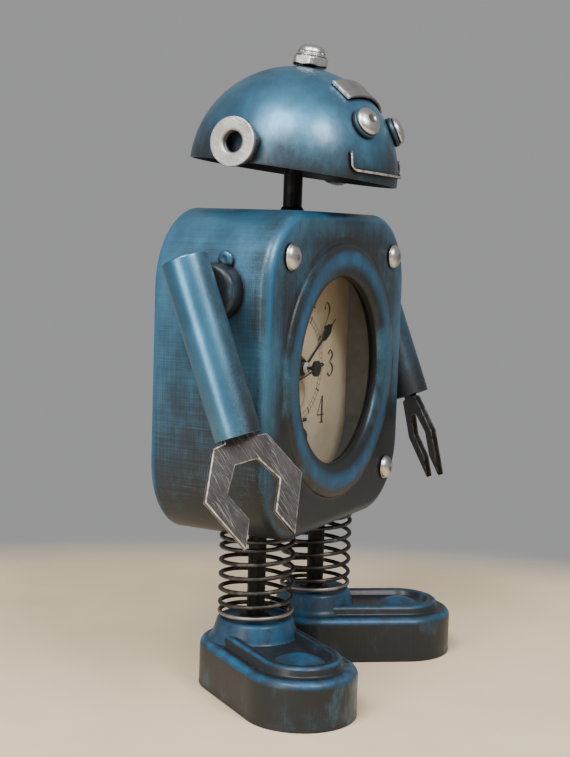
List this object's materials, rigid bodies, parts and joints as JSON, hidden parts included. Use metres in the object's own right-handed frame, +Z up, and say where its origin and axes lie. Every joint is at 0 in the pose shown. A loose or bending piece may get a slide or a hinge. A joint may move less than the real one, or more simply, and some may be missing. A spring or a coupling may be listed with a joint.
{
  "type": "robot desk clock",
  "caption": "Painted sheet-metal robot figure with a round clock in its chest, coil-spring legs, a turning dome head and swinging tube arms with open jaw claws.",
  "frame": {"origin": "on the ground, midway between the legs, and midway between the toes and the back of the dome", "axes": "+Z up; the figure faces -Y; its left arm is on +X"},
  "size_m": [0.2248, 0.1151, 0.2966],
  "materials": {
    "blue_paint": "satin paint over steel, antiqued and worn at the edges",
    "polished_steel": "polished",
    "scratched_steel": "scratched and waxed",
    "dark_steel": "blackened",
    "dial_paper": "aged, matte",
    "clock_glass": "clear",
    "black_rubber": "matte",
    "hand_black": "satin",
    "movement_plastic": "matte",
    "white_plastic": "matte",
    "brass": "satin",
    "cell_jacket": "satin"
  },
  "bodies": {
    "body": {"body_shell": "blue_paint", "rear_cover": "blue_paint", "rear_cover_screw_1": "dark_steel", "rear_cover_screw_2": "dark_steel", "rear_cover_screw_3": "dark_steel", "rear_cover_screw_4": "dark_steel", "bezel_ring": "blue_paint", "front_stud_1": "polished_steel", "front_stud_2": "polished_steel", "front_stud_3": "polished_steel", "front_stud_4": "polished_steel", "glass_gasket": "black_rubber", "clock_glass": "clock_glass", "clock_case": "dark_steel", "clock_dial": "dial_paper", "movement_case": "movement_plastic", "movement_cover": "movement_plastic", "movement_nut": "brass", "battery_contact_1": "polished_steel", "battery_contact_2": "polished_steel", "neck_rod": "dark_steel", "neck_nut": "dark_steel", "head_washer": "dark_steel", "antenna_nut": "polished_steel", "antenna_cap": "polished_steel", "shoulder_boss_right": "blue_paint", "shoulder_boss_left": "blue_paint", "leg_rod_right": "dark_steel", "leg_rod_left": "dark_steel", "leg_spring_right": "dark_steel", "leg_spring_left": "dark_steel", "foot_shell_right": "blue_paint", "foot_shell_left": "blue_paint", "foot_plate_right": "dark_steel", "foot_plate_left": "dark_steel"},
    "head": {"head_dome": "blue_paint", "eyebrow": "scratched_steel", "mouth": "scratched_steel", "eye_base_right": "blue_paint", "eye_base_left": "blue_paint", "eye_rivet_right": "polished_steel", "eye_rivet_left": "polished_steel", "ear_nut_right": "blue_paint", "ear_nut_left": "blue_paint", "ear_washer_right": "scratched_steel", "ear_washer_left": "scratched_steel"},
    "arm_right": {"shoulder_pin_right": "dark_steel", "arm_tube_right": "blue_paint", "claw_right": "scratched_steel"},
    "arm_left": {"shoulder_pin_left": "dark_steel", "arm_tube_left": "blue_paint", "claw_left": "scratched_steel"},
    "minute_train": {"minute_arbor": "white_plastic", "minute_hand": "hand_black", "hand_nut": "white_plastic"},
    "hour_train": {"hour_wheel": "white_plastic", "hour_hand": "hand_black"},
    "motion_train": {"motion_wheel": "white_plastic"},
    "second_train": {"second_hand": "hand_black"},
    "battery_cell": {"battery": "cell_jacket"}
  },
  "joints": [
    {"name": "head_turn", "type": "hinge", "parent": "body", "child": "head", "pos_m": [0, 0.0089, 0.2374], "axis": [0.0429, -0.1105, 0.9929], "continuous": true},
    {"name": "arm_right_swing", "type": "hinge", "parent": "body", "child": "arm_right", "pos_m": [-0.094, 0.0051, 0.1834], "axis": [1, 0, 0], "continuous": true},
    {"name": "arm_left_swing", "type": "hinge", "parent": "body", "child": "arm_left", "pos_m": [0.094, 0.0051, 0.1834], "axis": [1, 0, 0], "continuous": true},
    {"name": "minute_turn", "type": "hinge", "parent": "body", "child": "minute_train", "pos_m": [0, 0.0087, 0.1457], "axis": [0, 1, 0], "continuous": true},
    {"name": "hour_turn", "type": "hinge", "parent": "body", "child": "hour_train", "pos_m": [0, 0.0087, 0.1457], "axis": [0, 1, 0], "continuous": true},
    {"name": "motion_turn", "type": "hinge", "parent": "body", "child": "motion_train", "pos_m": [0.0075, 0.0087, 0.1457], "axis": [0, 1, 0], "continuous": true},
    {"name": "second_turn", "type": "hinge", "parent": "body", "child": "second_train", "pos_m": [0, 0.0087, 0.1457], "axis": [0, 1, 0], "continuous": true},
    {"name": "battery_slide", "type": "slide", "parent": "body", "child": "battery_cell", "axis": [0, 1, 0], "range_m": [0, 0.03]}
  ],
  "couplings": [
    {"joint": "hour_turn", "follows": "minute_turn", "ratio": 0.083333},
    {"joint": "motion_turn", "follows": "minute_turn", "ratio": -0.33333}
  ]
}
